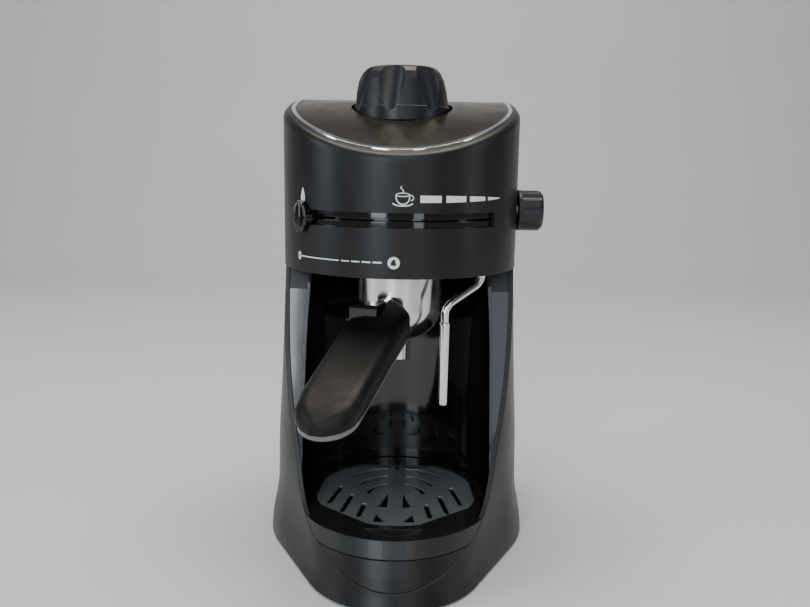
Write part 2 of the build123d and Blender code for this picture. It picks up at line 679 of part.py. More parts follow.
def filter_basket():
    rim = HEAD_Z + CUP_RIM
    r = CUP_R - CUP_WALL - FIT
    wall = disc(r, rim - BASKET_DEPTH, rim) - disc(r - 0.8, rim - BASKET_DEPTH + 0.8, rim + 9)
    return wall + tube(CUP_R - 0.2, r - 0.8, rim, rim + 1.0)


def handle_rows():
    rows = [between(HANDLE_ROWS, i, share / HANDLE_LEVELS)
            for i in range(len(HANDLE_ROWS) - 1) for share in range(HANDLE_LEVELS)]
    return rows + [HANDLE_ROWS[-1]]


def handle_width(r):
    """Middle and half width of the handle in plan, at a distance from the axis."""
    (tip_x, tip_r), (neck_x, neck_r) = HANDLE_END, HANDLE_NECK
    start, end = CUP_R + 4 + neck_r, HANDLE_TIP - tip_r
    share = min(1.0, max(0.0, (r - start) / (end - start)))
    radius = neck_r + (tip_r - neck_r) * share
    past = max(start - r, r - end, 0.0)
    return neck_x + (tip_x - neck_x) * share, (radius ** 2 - min(past, 0.98 * radius) ** 2) ** 0.5


def handle_body():
    """Bar with rounded upper edges; its lower part is cut to length by the pieces below."""
    sections = []
    for r, top, low in handle_rows():
        middle, half = handle_width(r)
        tall = low - top + 8
        frame = Plane((middle, -r, HEAD_Z - top - tall / 2), x_dir=(1, 0, 0), z_dir=(0, -1, 0))
        sections.append(frame * RectangleRounded(2 * half, tall, min(HANDLE_EDGE_R, 0.9 * half)))
    return loft(sections, ruled=True)


def under_handle(lift):
    """Everything below the handle's underside raised by a lift."""
    points = [(-r, HEAD_Z - low + lift) for r, _, low in handle_rows()]
    ends = [(-HANDLE_TIP - 9, points[-1][1]), (-HANDLE_TIP - 9, 0), (0, 0), (0, points[0][1])]
    return side_prism(make_face(Polyline(*points, *ends, close=True)), 60)


def boss_room():
    return along_y(BOSS_R, -(CUP_R + 8), -CUP_R, 0, HEAD_Z - BOSS_DROP)


def clip_room(gap, front):
    (x0, x1), (y0, y1) = CLIP_X, CLIP_Y
    z = HEAD_Z - CLIP_DROP
    return block(x0 - gap, x1 + gap, y0 - front, y1 + gap, z - CLIP_T - gap, z + gap)


def handle_grip():
    """Rounded bar with a notch for the clip beside the hub's right arm."""
    grip = handle_body() - under_handle(INSERT_T)
    grip -= block(-60, CLIP_X[1] + 1.0, -NOTCH_END, 0, HEAD_Z - NOTCH_DROP, HEAD_Z)
    return grip - boss_room() - clip_room(1.0, 1.5) - clip_pin()


def handle_insert():
    """Bright strip under the handle, a little narrower than the grip."""
    (tip_x, tip_r), (neck_x, neck_r) = HANDLE_END, HANDLE_NECK
    rounds = [(tip_x, tip_r - HANDLE_TIP, tip_r - 1.2), (neck_x, -(CUP_R + 4 + neck_r), neck_r - 1.2)]
    strip = prism(outline(rounds), HEAD_Z - 110, HEAD_Z)
    return (strip & under_handle(INSERT_T)) - under_handle(0) - boss_room()


def basket_clip():
    """Thumb flap that holds the basket when the grounds are knocked out."""
    flap = clip_room(0, 0)
    flap = fillet(flap.edges().filter_by(Axis.X), 2.2)
    return flap - Pos(0, clip_y(), clip_z()) * (Rot(0, 90, 0) * Cylinder(1.25, 80))


def clip_y():
    return CLIP_Y[0] + 2.5


def clip_z():
    return HEAD_Z - CLIP_DROP - CLIP_T + 2.5


def clip_pin():
    x0, x1 = CLIP_X
    mid, length = (x0 + x1) / 2, x1 - x0 + 6
    return Pos(mid, clip_y(), clip_z()) * (Rot(0, 90, 0) * Cylinder(1.2, length))


# ---------------------------------------------------------------- strength selector
def selector_track():
    """Curved channel behind the slot; its front is two lips with a narrow gap between them."""
    r = HEAD_R - HEAD_WALL
    az0, az1 = SLOT_AZ[0] - 7, SLOT_AZ[1] + 4
    low, high = SLOT_LOW - 4, SLOT_HIGH + 4
    body = arc_wall(r - 2 * TRACK_T - TRACK_ROOM, r, low, high, az0, az1)
    body -= arc_wall(r - TRACK_T - TRACK_ROOM, r - TRACK_T, low + 1.5, high - 1.5, az0 + 1, az1 - 1)
    gap = BLADE_T / 2 + BLADE_GAP
    mid = (SLOT_LOW + SLOT_HIGH) / 2
    return body - arc_wall(r - 3, r + 1, mid - gap, mid + gap, az0 + 1, az1 - 1)


def selector_shoe():
    r = HEAD_R - HEAD_WALL - TRACK_T
    low, high = SLOT_LOW - 2.5 + FIT, SLOT_HIGH + 2.5 - FIT
    return arc_wall(r - TRACK_ROOM + FIT, r - FIT, low, high, LEVER_AZ - SHOE_ANGLE, LEVER_AZ + SHOE_ANGLE)


def selector_blade():
    r, mid = HEAD_R - HEAD_WALL - TRACK_T, (SLOT_LOW + SLOT_HIGH) / 2
    z0, z1 = mid - BLADE_T / 2, mid + BLADE_T / 2
    blade = arc_wall(r - FIT, HEAD_R + 3, z0, z1, LEVER_AZ - 2.5, LEVER_AZ + 2.5)
    return blade + arc_wall(HEAD_R + 0.6, HEAD_R + 3, z0 - 1.4, z1 + 1.4, LEVER_AZ - 3, LEVER_AZ + 9)


def selector_lever():
    """Oval thumb piece with a pinched rib down its middle."""
    mid = (SLOT_LOW + SLOT_HIGH) / 2
    oval = Ellipse(LEVER_W / 2, LEVER_H / 2)
    y0 = -(HEAD_R + 0.8)
    plate = extrude(Plane((0, y0, mid), x_dir=(1, 0, 0), z_dir=(0, -1, 0)) * oval, LEVER_OUT)
    plate = fillet(plate.faces().sort_by(Axis.Y)[0].edges(), 1.6)
    for side in (-1, 1):
        plate -= Pos(side * 7.2, y0 - LEVER_OUT - 6.4, mid) * Sphere(9.2)
    low = mid - BLADE_T / 2 - 1.4
    plate -= arc_wall(HEAD_R, HEAD_R + 3, low, low + BLADE_T + 2.8, -20, 20)
    return Rot(0, 0, LEVER_AZ) * plate


# ---------------------------------------------------------------- mains side
def rocker_bezel():
    y = BACK_Y
    outer = block(-ROCKER_W / 2, ROCKER_W / 2, y - 10, y, ROCKER_Z - ROCKER_H / 2, ROCKER_Z + ROCKER_H / 2)
    rim = block(-ROCKER_W / 2 - 2, ROCKER_W / 2 + 2, y + 0.8, y + 3.0,
                ROCKER_Z - ROCKER_H / 2 - 2, ROCKER_Z + ROCKER_H / 2 + 2)
    neck = block(-ROCKER_W / 2, ROCKER_W / 2, y - 1, y + 2,
                 ROCKER_Z - ROCKER_H / 2, ROCKER_Z + ROCKER_H / 2)
    room = block(-ROCKER_W / 2 + 2, ROCKER_W / 2 - 2, y - 8, y + 9,
                 ROCKER_Z - ROCKER_H / 2 + 2, ROCKER_Z + ROCKER_H / 2 - 2)
    pin = Pos(0, y - 3.5, ROCKER_Z) * (Rot(0, 90, 0) * Cylinder(1.0, ROCKER_W - 1))
    return outer + rim + neck - room + pin


def power_rocker():
    y, half = BACK_Y, ROCKER_H / 2 - 3.6
    w = ROCKER_W / 2 - 2 - FIT
    profile = make_face(Polyline((y - 5.5, -3.0), (y - 5.5, 3.0), (y + 1.0, half), (y + 4.2, half),
                                 (y + 3.0, 0), (y + 4.2, -half), (y + 1.0, -half), close=True))
    body = side_prism(profile, w)
    body = Pos(0, y - 3.5, ROCKER_Z) * (Rot(ROCKER_TILT, 0, 0) * (Pos(0, -(y - 3.5), 0) * body))
    return body - Pos(0, y - 3.5, ROCKER_Z) * (Rot(0, 90, 0) * Cylinder(1.06, ROCKER_W))


def cord_gland():
    y = BACK_Y
    body = along_y(GLAND_R, y - 4, y + 6, 0, GLAND_Z) + along_y(GLAND_R + 2, y + 5.5, y + 8, 0, GLAND_Z)
    body += along_y(GLAND_R + 2, y - 4, y - 1, 0, GLAND_Z)
    return body - along_y(GLAND_HOLE, y - 9, y + 20, 0, GLAND_Z)


def terminal_block():
    z = SEAT_TOP
    body = block(-16, 16, 60, 74, z, z + 12)
    for x in (-10, 0, 10):
        body -= disc(2.4, z + 6, z + 13, x, 67)
    return body


# ---------------------------------------------------------------- all pieces
def pieces():
    parts = {f.__name__: f() for f in (
        outer_shell, front_panel, tray_seat, inner_liner, base_plate, base_screws, foot_ring,
        drip_tray, drip_grille, head_shell, chrome_trim, head_lid, head_underplate, boiler,
        boiler_heater, boiler_bracket, bracket_screws, thermostat, thermal_fuse, group_collar,
        group_gasket, shower_screen, screen_screw, cap_knob, cap_insert, cap_gasket, safety_valve,
        steam_valve, steam_stem, steam_knob, steam_pipe, wand_socket, steam_wand, wand_sleeve,
        selector_track, selector_shoe, selector_blade, selector_lever, rocker_bezel, power_rocker,
        cord_gland, terminal_block)}
    parts |= side_strips()
    for piece in (portafilter_cup, portafilter_spout, filter_basket, handle_grip, handle_insert,
                  basket_clip, clip_pin):
        parts[piece.__name__] = Rot(0, 0, HANDLE_AZ) * piece()
    return parts


os.makedirs(OUT, exist_ok=True)
for name, shape in pieces().items():
    export_step(shape, f"{OUT}/{name}.step")
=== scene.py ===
"""Looks of the small steam espresso machine: finishes, printed marks, studio and camera.

Everything is in metres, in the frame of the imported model: the brewing axis is the Z axis, the
worktop is z = 0 and the front faces -Y. Azimuths are degrees from the front towards +X.
"""
from math import cos, degrees, hypot, pi, radians, sin, sqrt

import bmesh
import bpy
from mathutils import Matrix, Vector


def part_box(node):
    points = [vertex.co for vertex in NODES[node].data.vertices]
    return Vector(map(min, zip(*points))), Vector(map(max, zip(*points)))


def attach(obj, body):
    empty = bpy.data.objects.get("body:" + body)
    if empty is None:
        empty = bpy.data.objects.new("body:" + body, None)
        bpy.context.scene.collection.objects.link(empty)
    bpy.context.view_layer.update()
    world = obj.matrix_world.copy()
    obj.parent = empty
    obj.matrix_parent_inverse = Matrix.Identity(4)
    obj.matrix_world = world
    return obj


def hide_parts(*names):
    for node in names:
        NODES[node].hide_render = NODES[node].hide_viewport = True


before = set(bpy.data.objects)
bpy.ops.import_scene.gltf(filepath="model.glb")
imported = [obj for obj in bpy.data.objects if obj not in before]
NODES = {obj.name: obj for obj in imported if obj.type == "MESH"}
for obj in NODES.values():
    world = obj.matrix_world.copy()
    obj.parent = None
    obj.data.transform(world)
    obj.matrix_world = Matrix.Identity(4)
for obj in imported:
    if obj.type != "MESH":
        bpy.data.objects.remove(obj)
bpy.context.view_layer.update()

MM = 0.001


def low(node):
    """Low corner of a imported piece."""
    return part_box(node)[0]


def high(node):
    """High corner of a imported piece."""
    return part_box(node)[1]


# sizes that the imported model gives
HEAD_RADIUS = high("head_shell").x
SLOT_MIDDLE = (low("selector_blade").z + high("selector_blade").z) / 2
LEVER_AZIMUTH = -49.5       # where the selector lever rests

DUST_COLOUR = (0.34, 0.32, 0.29)


# ---------------------------------------------------------------- shader groups
def socket(group, name, kind, way, value=None):
    """Adds an input or output to a group."""
    made = group.interface.new_socket(name=name, in_out=way, socket_type=kind)
    if value is not None:
        made.default_value = value


def start_group(name, inputs, outputs):
    """A shader node group with its float inputs and outputs; gives it and its two end nodes."""
    group = bpy.data.node_groups.new(name, "ShaderNodeTree")
    for title, value in inputs:
        socket(group, title, "NodeSocketFloat", "INPUT", value)
    for title, kind in outputs:
        socket(group, title, kind, "OUTPUT")
    ins, outs = group.nodes.new("NodeGroupInput"), group.nodes.new("NodeGroupOutput")
    return group, ins, outs


def add(tree, kind, **values):
    """A new node of this kind with the settings given by name."""
    node = tree.nodes.new(kind)
    for key, value in values.items():
        setattr(node, key, value)
    return node


def link(tree, source, node, name):
    """Feeds a socket into the named input of a node."""
    tree.links.new(source, node.inputs[name])


def math_node(tree, operation, a, b=None, clamp=False):
    """Result of a sum; a and b are each a number or a socket."""
    node = add(tree, "ShaderNodeMath", operation=operation, use_clamp=clamp)
    for i, value in enumerate((a, b)):
        if value is None:
            continue
        if isinstance(value, (int, float)):
            node.inputs[i].default_value = value
        else:
            tree.links.new(value, node.inputs[i])
    return node.outputs[0]


def noise(tree, vector, scale, detail=2.0, rough=0.5, distortion=0.0):
    """Cloudy value at a vector; the scale is a number or a socket."""
    node = add(tree, "ShaderNodeTexNoise")
    if isinstance(scale, (int, float)):
        node.inputs["Scale"].default_value = scale
    else:
        link(tree, scale, node, "Scale")
    node.inputs["Detail"].default_value = detail
    node.inputs["Roughness"].default_value = rough
    node.inputs["Distortion"].default_value = distortion
    link(tree, vector, node, "Vector")
    return node.outputs["Fac"]


def stretched(tree, vector, scale, rotation=(0.0, 0.0, 0.0)):
    """The vector turned by degrees and scaled along each axis."""
    node = add(tree, "ShaderNodeMapping")
    node.inputs["Rotation"].default_value = [radians(a) for a in rotation]
    node.inputs["Scale"].default_value = scale
    link(tree, vector, node, "Vector")
    return node.outputs["Vector"]


def band(tree, value, start, end):
    """0 below start, 1 above end, in a smooth step."""
    node = add(tree, "ShaderNodeMapRange", interpolation_type="SMOOTHSTEP")
    link(tree, value, node, "Value")
    node.inputs["From Min"].default_value = start
    node.inputs["From Max"].default_value = end
    return node.outputs["Result"]


def coordinates(tree):
    """Place on the piece, in metres."""
    return add(tree, "ShaderNodeTexCoord").outputs["Object"]


def moulded_grain():
    """Height of the fine spark-eroded texture that moulded plastic has."""
    group, ins, outs = start_group("moulded_grain", [("Scale", 2200.0)],
                                   [("Height", "NodeSocketFloat")])
    at = coordinates(group)
    fine = noise(group, at, ins.outputs["Scale"], 3.0, 0.6)
    coarse = noise(group, at, 420.0, 2.0)
    group.links.new(math_node(group, "ADD", math_node(group, "MULTIPLY", fine, 0.8),
                              math_node(group, "MULTIPLY", coarse, 0.2)), outs.inputs["Height"])
    return group


def edge_wear():
    """Mask of edges rubbed by use, and a normal that softens the edges."""
    group, ins, outs = start_group("edge_wear", [("Width", 0.0008), ("Amount", 0.5)],
                                   [("Mask", "NodeSocketFloat"), ("Normal", "NodeSocketVector")])
    bevel = add(group, "ShaderNodeBevel", samples=6)
    link(group, ins.outputs["Width"], bevel, "Radius")
    flat = add(group, "ShaderNodeNewGeometry").outputs["Normal"]
    dot = add(group, "ShaderNodeVectorMath", operation="DOT_PRODUCT")
    group.links.new(bevel.outputs["Normal"], dot.inputs[0])
    group.links.new(flat, dot.inputs[1])
    bend = band(group, math_node(group, "SUBTRACT", 1.0, dot.outputs["Value"]), 0.01, 0.16)
    patches = band(group, noise(group, coordinates(group), 260.0, 4.0, 0.65), 0.42, 0.62)
    rubbed = math_node(group, "MULTIPLY", math_node(group, "MULTIPLY", bend, patches),
                       ins.outputs["Amount"], clamp=True)
    group.links.new(rubbed, outs.inputs["Mask"])
    group.links.new(bevel.outputs["Normal"], outs.inputs["Normal"])
    return group


def settled_dust():
    """Mask of the dust that lies on faces that look up."""
    group, ins, outs = start_group("settled_dust", [("Amount", 0.3), ("Scale", 90.0)],
                                   [("Mask", "NodeSocketFloat")])
    parts = add(group, "ShaderNodeSeparateXYZ")
    group.links.new(add(group, "ShaderNodeNewGeometry").outputs["Normal"], parts.inputs[0])
    up = band(group, parts.outputs["Z"], 0.35, 1.0)
    at = coordinates(group)
    cloud = band(group, noise(group, at, ins.outputs["Scale"], 5.0, 0.65), 0.35, 0.8)
    specks = band(group, noise(group, at, 2600.0, 1.0), 0.62, 0.70)
    both = math_node(group, "ADD", math_node(group, "MULTIPLY", cloud, 0.45),
                     math_node(group, "MULTIPLY", specks, 0.55))
    amount = math_node(group, "MULTIPLY", math_node(group, "MULTIPLY", up, both),
                       ins.outputs["Amount"])
    group.links.new(amount, outs.inputs["Mask"])
    return group


def handling_marks():
    """Masks of hairline scratches and of the dull smears left by hands and cloths."""
    group, ins, outs = start_group("handling_marks", [("Scratches", 0.3), ("Smears", 0.5)],
                                   [("Scratches", "NodeSocketFloat"), ("Smears", "NodeSocketFloat")])
    at = coordinates(group)
    lines = None
    for angle, size in ((18.0, 40.0), (-33.0, 55.0), (71.0, 47.0)):
        run = stretched(group, at, (size * 0.6, size * 30.0, size * 0.6),
                        (angle, angle * 0.7, angle))
        thin = band(group, noise(group, run, 1.0, 1.0, 0.4), 0.735, 0.76)
        lines = thin if lines is None else math_node(group, "MAXIMUM", lines, thin)
    group.links.new(math_node(group, "MULTIPLY", lines, ins.outputs["Scratches"], clamp=True),
                    outs.inputs["Scratches"])
    wiped = noise(group, stretched(group, at, (1.0, 1.0, 0.45)), 34.0, 4.0, 0.6, 0.8)
    smeared = math_node(group, "MULTIPLY", band(group, wiped, 0.38, 0.72), ins.outputs["Smears"])
    group.links.new(smeared, outs.inputs["Smears"])
    return group


def turning_lines():
    """Height of the fine lines that a lathe or a polishing wheel leaves round the Z axis."""
    group, ins, outs = start_group("turning_lines", [("Scale", 1.0)],
                                   [("Height", "NodeSocketFloat")])
    run = stretched(group, coordinates(group), (14.0, 14.0, 5200.0))
    group.links.new(noise(group, run, ins.outputs["Scale"], 2.0, 0.5), outs.inputs["Height"])
    return group


def cast_skin():
    """Height of the sandy skin of cast metal and of moulded rubber."""
    group, ins, outs = start_group("cast_skin", [("Scale", 700.0)], [("Height", "NodeSocketFloat")])
    at = coordinates(group)
    cells = add(group, "ShaderNodeTexVoronoi")
    link(group, at, cells, "Vector")
    link(group, ins.outputs["Scale"], cells, "Scale")
    mixed = math_node(group, "ADD", math_node(group, "MULTIPLY", cells.outputs["Distance"], 0.6),
                      noise(group, at, 350.0, 4.0))
    group.links.new(mixed, outs.inputs["Height"])
    return group


GROUPS = {make.__name__: make() for make in (
    moulded_grain, edge_wear, settled_dust, handling_marks, turning_lines, cast_skin)}


# ---------------------------------------------------------------- materials
def place(tree, name, **values):
    """A use of a shader group with its inputs set."""
    node = add(tree, "ShaderNodeGroup")
    node.node_tree = GROUPS[name]
    for title, value in values.items():
        node.inputs[title].default_value = value
    return node


def mix_colour(tree, mask, a, b):
    """a where the mask is 0 and b where it is 1; each is a colour or a socket."""
    node = add(tree, "ShaderNodeMix", data_type="RGBA")
    link(tree, mask, node, 0)
    for index, value in ((6, a), (7, b)):
        if isinstance(value, tuple):
            node.inputs[index].default_value = (*value, 1.0)
        else:
            tree.links.new(value, node.inputs[index])
    return node.outputs[2]


def new_material(name):
    """A material, its nodes and its shader."""
    material = bpy.data.materials.new(name)
    material.use_nodes = True
    tree = material.node_tree
    return material, tree, tree.nodes["Principled BSDF"]


def relief(tree, height, distance, strength, normal=None):
    """Normal of a surface that a height texture raises by up to a distance."""
    node = add(tree, "ShaderNodeBump")
    node.inputs["Distance"].default_value = distance
    node.inputs["Strength"].default_value = strength
    link(tree, height, node, "Height")
    if normal is not None:
        link(tree, normal, node, "Normal")
    return node.outputs["Normal"]


def shade(colour, factor):
    """A lighter or darker colour."""
    return tuple(min(1.0, c * factor) for c in colour)


def plastic(name, colour, rough, grain=0.00002, grain_scale=2200.0, wear=0.35, worn=None, dust=0.25,
            smears=0.5, scratches=0.2, coat=0.0, mottle=0.25, edge=0.0006, shine=0.5):
    """Moulded plastic: mottled colour, grain, rubbed edges, scratches, smears and dust."""
    material, tree, shader = new_material(name)
    marks = place(tree, "handling_marks", Scratches=scratches, Smears=smears)
    edges = place(tree, "edge_wear", Width=edge, Amount=wear)
    dusty = place(tree, "settled_dust", Amount=dust)
    cloud = noise(tree, coordinates(tree), 26.0, 4.0, 0.6)
    base = mix_colour(tree, cloud, shade(colour, 1 - mottle), shade(colour, 1 + mottle))
    base = mix_colour(tree, marks.outputs["Scratches"], base, shade(colour, 2.2))
    base = mix_colour(tree, edges.outputs["Mask"], base, worn or shade(colour, 2.6))
    base = mix_colour(tree, dusty.outputs["Mask"], base, DUST_COLOUR)
    link(tree, base, shader, "Base Color")
    dull = math_node(tree, "ADD", rough, math_node(tree, "MULTIPLY", marks.outputs["Smears"], 0.16))
    dull = math_node(tree, "ADD", dull, math_node(tree, "MULTIPLY", dusty.outputs["Mask"], 0.5),
                     clamp=True)
    link(tree, dull, shader, "Roughness")
    height = place(tree, "moulded_grain", Scale=grain_scale).outputs["Height"]
    link(tree, relief(tree, height, grain, 1.0, edges.outputs["Normal"]), shader, "Normal")
    shader.inputs["Coat Weight"].default_value = coat
    shader.inputs["Coat Roughness"].default_value = 0.05
    shader.inputs["Specular IOR Level"].default_value = shine
    return material


def metal(name, colour, rough, skin="turning_lines", depth=0.000006, stain=(0.30, 0.27, 0.22),
          smears=0.5, scratches=0.3, dust=0.1, stained=0.15, edge=0.0004):
    """Bare or plated metal: fine working lines or a cast skin, scratches, smears and stains."""
    material, tree, shader = new_material(name)
    marks = place(tree, "handling_marks", Scratches=scratches, Smears=smears)
    edges = place(tree, "edge_wear", Width=edge, Amount=0.4)
    dusty = place(tree, "settled_dust", Amount=dust)
    spots = band(tree, noise(tree, coordinates(tree), 60.0, 6.0, 0.7), 0.5, 0.85)
    spots = math_node(tree, "MULTIPLY", spots, stained)
    base = mix_colour(tree, spots, colour, stain)
    base = mix_colour(tree, edges.outputs["Mask"], base, shade(colour, 1.15))
    base = mix_colour(tree, dusty.outputs["Mask"], base, DUST_COLOUR)
    link(tree, base, shader, "Base Color")
    shader.inputs["Metallic"].default_value = 1.0
    dull = math_node(tree, "ADD", rough, math_node(tree, "MULTIPLY", marks.outputs["Smears"], 0.12))
    dull = math_node(tree, "ADD", dull,
                     math_node(tree, "MULTIPLY", marks.outputs["Scratches"], 0.25))
    link(tree, math_node(tree, "ADD", dull, spots, clamp=True), shader, "Roughness")
    height = place(tree, skin).outputs["Height"]
    link(tree, relief(tree, height, depth, 1.0, edges.outputs["Normal"]), shader, "Normal")
    return material


def printed_ink():
    """White tampon print with thin, slightly broken edges."""
    material, tree, shader = new_material("white_ink")
    worn = band(tree, noise(tree, coordinates(tree), 1500.0, 4.0, 0.7), 0.62, 0.8)
    base = mix_colour(tree, worn, (0.84, 0.84, 0.82), (0.45, 0.45, 0.44))
    link(tree, base, shader, "Base Color")
    height = place(tree, "moulded_grain", Scale=1800.0).outputs["Height"]
    link(tree, relief(tree, height, 0.00002, 1.0), shader, "Normal")
    shader.inputs["Roughness"].default_value = 0.45
    return material


def painted_grille():
    """Grey stoved paint on steel, rubbed to bright metal on the edges of the slots."""
    material, tree, shader = new_material("grille_paint")
    marks = place(tree, "handling_marks", Scratches=0.4, Smears=0.7)
    edges = place(tree, "edge_wear", Width=0.0011, Amount=1.6)
    cloud = noise(tree, coordinates(tree), 45.0, 4.0, 0.6)
    paint = mix_colour(tree, cloud, (0.16, 0.18, 0.185), (0.21, 0.23, 0.235))
    paint = mix_colour(tree, marks.outputs["Scratches"], paint, (0.22, 0.23, 0.24))
    paint = mix_colour(tree, edges.outputs["Mask"], paint, (0.50, 0.50, 0.49))
    link(tree, paint, shader, "Base Color")
    metallic = math_node(tree, "ADD", math_node(tree, "MULTIPLY", edges.outputs["Mask"], 0.7), 0.35)
    link(tree, metallic, shader, "Metallic")
    dull = math_node(tree, "ADD", 0.34, math_node(tree, "MULTIPLY", marks.outputs["Smears"], 0.2))
    link(tree, dull, shader, "Roughness")
    height = place(tree, "cast_skin", Scale=1500.0).outputs["Height"]
    link(tree, relief(tree, height, 0.00004, 0.6, edges.outputs["Normal"]), shader, "Normal")
    return material


def two_finish_tray():
    """Tray plastic: polished on the rim and in the bowl, satin on the upright front."""
    material = plastic("tray_plastic", (0.0085, 0.009, 0.0095), 0.14, grain=0.000012, wear=0.25,
                       smears=0.8, dust=0.03, coat=0.1)
    tree = material.node_tree
    shader = tree.nodes["Principled BSDF"]
    parts = add(tree, "ShaderNodeSeparateXYZ")
    tree.links.new(add(tree, "ShaderNodeNewGeometry").outputs["Normal"], parts.inputs[0])
    front = band(tree, math_node(tree, "MULTIPLY", parts.outputs["Y"], -1.0), 0.3, 0.6)
    colour = shader.inputs["Base Color"].links[0].from_socket
    dull = shader.inputs["Roughness"].links[0].from_socket
    satin = mix_colour(tree, front, colour, (0.012, 0.0125, 0.013))
    link(tree, satin, shader, "Base Color")
    dull = math_node(tree, "ADD", dull, math_node(tree, "MULTIPLY", front, 0.26))
    link(tree, dull, shader, "Roughness")
    return material


def rubber(name, colour):
    """Dull, dusty rubber with a coarse grain."""
    return plastic(name, colour, 0.72, grain=0.00006, grain_scale=1300.0, wear=0.3, dust=0.6)


BODY = plastic("body_plastic", (0.0060, 0.0064, 0.0074), 0.34, grain=0.00002, dust=0.03,
               wear=0.12, shine=0.42)
# The brownish colour of the lid is a painted warm reflection on a glossy dark lid.
LID_WITH_PAINTED_REFLECTION = plastic("lid_plastic", (0.017, 0.012, 0.008), 0.22, grain=0.00001, dust=0.08, smears=0.8,
              shine=0.22)
GLOSS = plastic("gloss_plastic", (0.005, 0.005, 0.006), 0.06, grain=0.000003, wear=0.12, smears=0.35,
                scratches=0.3, dust=0.08, coat=0.5)
STRIP = plastic("strip_plastic", (0.008, 0.009, 0.012), 0.06, grain=0.000002, wear=0.5,
                worn=(0.25, 0.26, 0.27), smears=0.3, coat=0.6)
BASE = plastic("base_plastic", (0.014, 0.014, 0.015), 0.6, grain=0.00005, dust=0.3)
TRAY = two_finish_tray()
KNOB = plastic("knob_plastic", (0.0070, 0.0082, 0.0105), 0.34, grain=0.00003, wear=0.35,
               scratches=0.5, smears=0.8, dust=0.08)
HANDLE = plastic("handle_plastic", (0.0030, 0.0031, 0.0032), 0.40, grain=0.00003, wear=0.3,
                 scratches=0.5, smears=0.9, dust=0.02, edge=0.0035, shine=0.28)
SILVER = plastic("silver_plastic", (0.16, 0.165, 0.17), 0.2, grain=0.00001, wear=0.2,
                 worn=(0.1, 0.1, 0.1), dust=0.1, mottle=0.08)
BLOCK = plastic("terminal_plastic", (0.70, 0.68, 0.62), 0.5, mottle=0.06)
CHROME = metal("bright_chrome", (0.83, 0.83, 0.82), 0.06, depth=0.000001, scratches=0.2, smears=0.4)
POLISHED = metal("polished_alloy", (0.80, 0.79, 0.77), 0.13, depth=0.000007, scratches=0.4, smears=0.6,
                 stained=0.25)
STEEL = metal("plain_steel", (0.56, 0.56, 0.55), 0.26, depth=0.00001)
ALLOY = metal("cast_alloy", (0.62, 0.62, 0.62), 0.42, skin="cast_skin", depth=0.00012, stained=0.4)
BRASS = metal("plain_brass", (0.72, 0.52, 0.24), 0.25, stain=(0.20, 0.12, 0.05), stained=0.5)
RUBBER = rubber("foot_rubber", (0.018, 0.018, 0.018))
SEAL = rubber("red_seal", (0.22, 0.03, 0.02))
GRILLE = painted_grille()
INK = printed_ink()

FINISHES = {
    BODY: ("outer_shell", "front_panel", "head_shell"),
    LID_WITH_PAINTED_REFLECTION: ("head_lid",),
    GLOSS: ("tray_seat", "inner_liner", "head_underplate", "cap_insert", "selector_track",
            "selector_shoe", "selector_blade", "selector_lever", "rocker_bezel", "basket_clip"),
    STRIP: ("side_strip_left", "side_strip_right"),
    BASE: ("base_plate",),
    TRAY: ("drip_tray",),
    KNOB: ("cap_knob", "steam_knob", "wand_socket", "power_rocker", "strip_block_left",
           "strip_block_right", "clip_pin"),
    HANDLE: ("handle_grip",),
    SILVER: ("handle_insert",),
    BLOCK: ("terminal_block",),
    CHROME: ("chrome_trim", "steam_wand", "wand_sleeve"),
    POLISHED: ("portafilter_cup", "portafilter_spout"),
    STEEL: ("base_screws", "boiler_heater", "boiler_bracket", "bracket_screws", "thermostat",
            "thermal_fuse", "shower_screen", "screen_screw", "steam_stem", "steam_pipe",
            "filter_basket"),
    ALLOY: ("boiler", "group_collar"),
    BRASS: ("safety_valve", "steam_valve"),
    RUBBER: ("foot_ring", "cord_gland"),
    SEAL: ("group_gasket", "cap_gasket"),
    GRILLE: ("drip_grille",),
}
for material, names in FINISHES.items():
    for name in names:
        mesh = NODES[name].data
        mesh.materials.clear()
        mesh.materials.append(material)


# ---------------------------------------------------------------- mesh helpers
def on_body(name, verts, faces, material, body, smooth=True, replaced=()):
    """A mesh piece that rides on a body and takes its finish from a slot."""
    mesh = bpy.data.meshes.new(name)
    mesh.from_pydata([tuple(v) for v in verts], [], faces)
    mesh.validate()
    mesh.materials.append(material)
    tidy = bmesh.new()
    tidy.from_mesh(mesh)
    bmesh.ops.recalc_face_normals(tidy, faces=tidy.faces)
    tidy.to_mesh(mesh)
    tidy.free()
    if smooth:
        mesh.shade_smooth()
    piece = bpy.data.objects.new(name, mesh)
    bpy.context.scene.collection.objects.link(piece)
    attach(piece, body)
    if replaced:
        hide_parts(*replaced)
    return piece


def front_point(radius, azimuth, z):
    """Point on an upright cylinder about the brewing axis."""
    a = radians(azimuth)
    return Vector((radius * sin(a), -radius * cos(a), z))


def rings_to_mesh(rings, close_ends=True):
    """Vertices and faces of a skin over rings of equal length."""
    count = len(rings[0])
    verts = [p for ring in rings for p in ring]
    faces = []
    for i in range(len(rings) - 1):
        for k in range(count):
            a, b = i * count + k, i * count + (k + 1) % count
            faces.append((a, b, b + count, a + count))
    if close_ends:
        faces.append(tuple(range(count))[::-1])
        faces.append(tuple(range(len(verts) - count, len(verts))))
    return verts, faces


# ---------------------------------------------------------------- printed marks on the head
INK_LIFT, INK_DEPTH = 0.05 * MM, 0.12 * MM


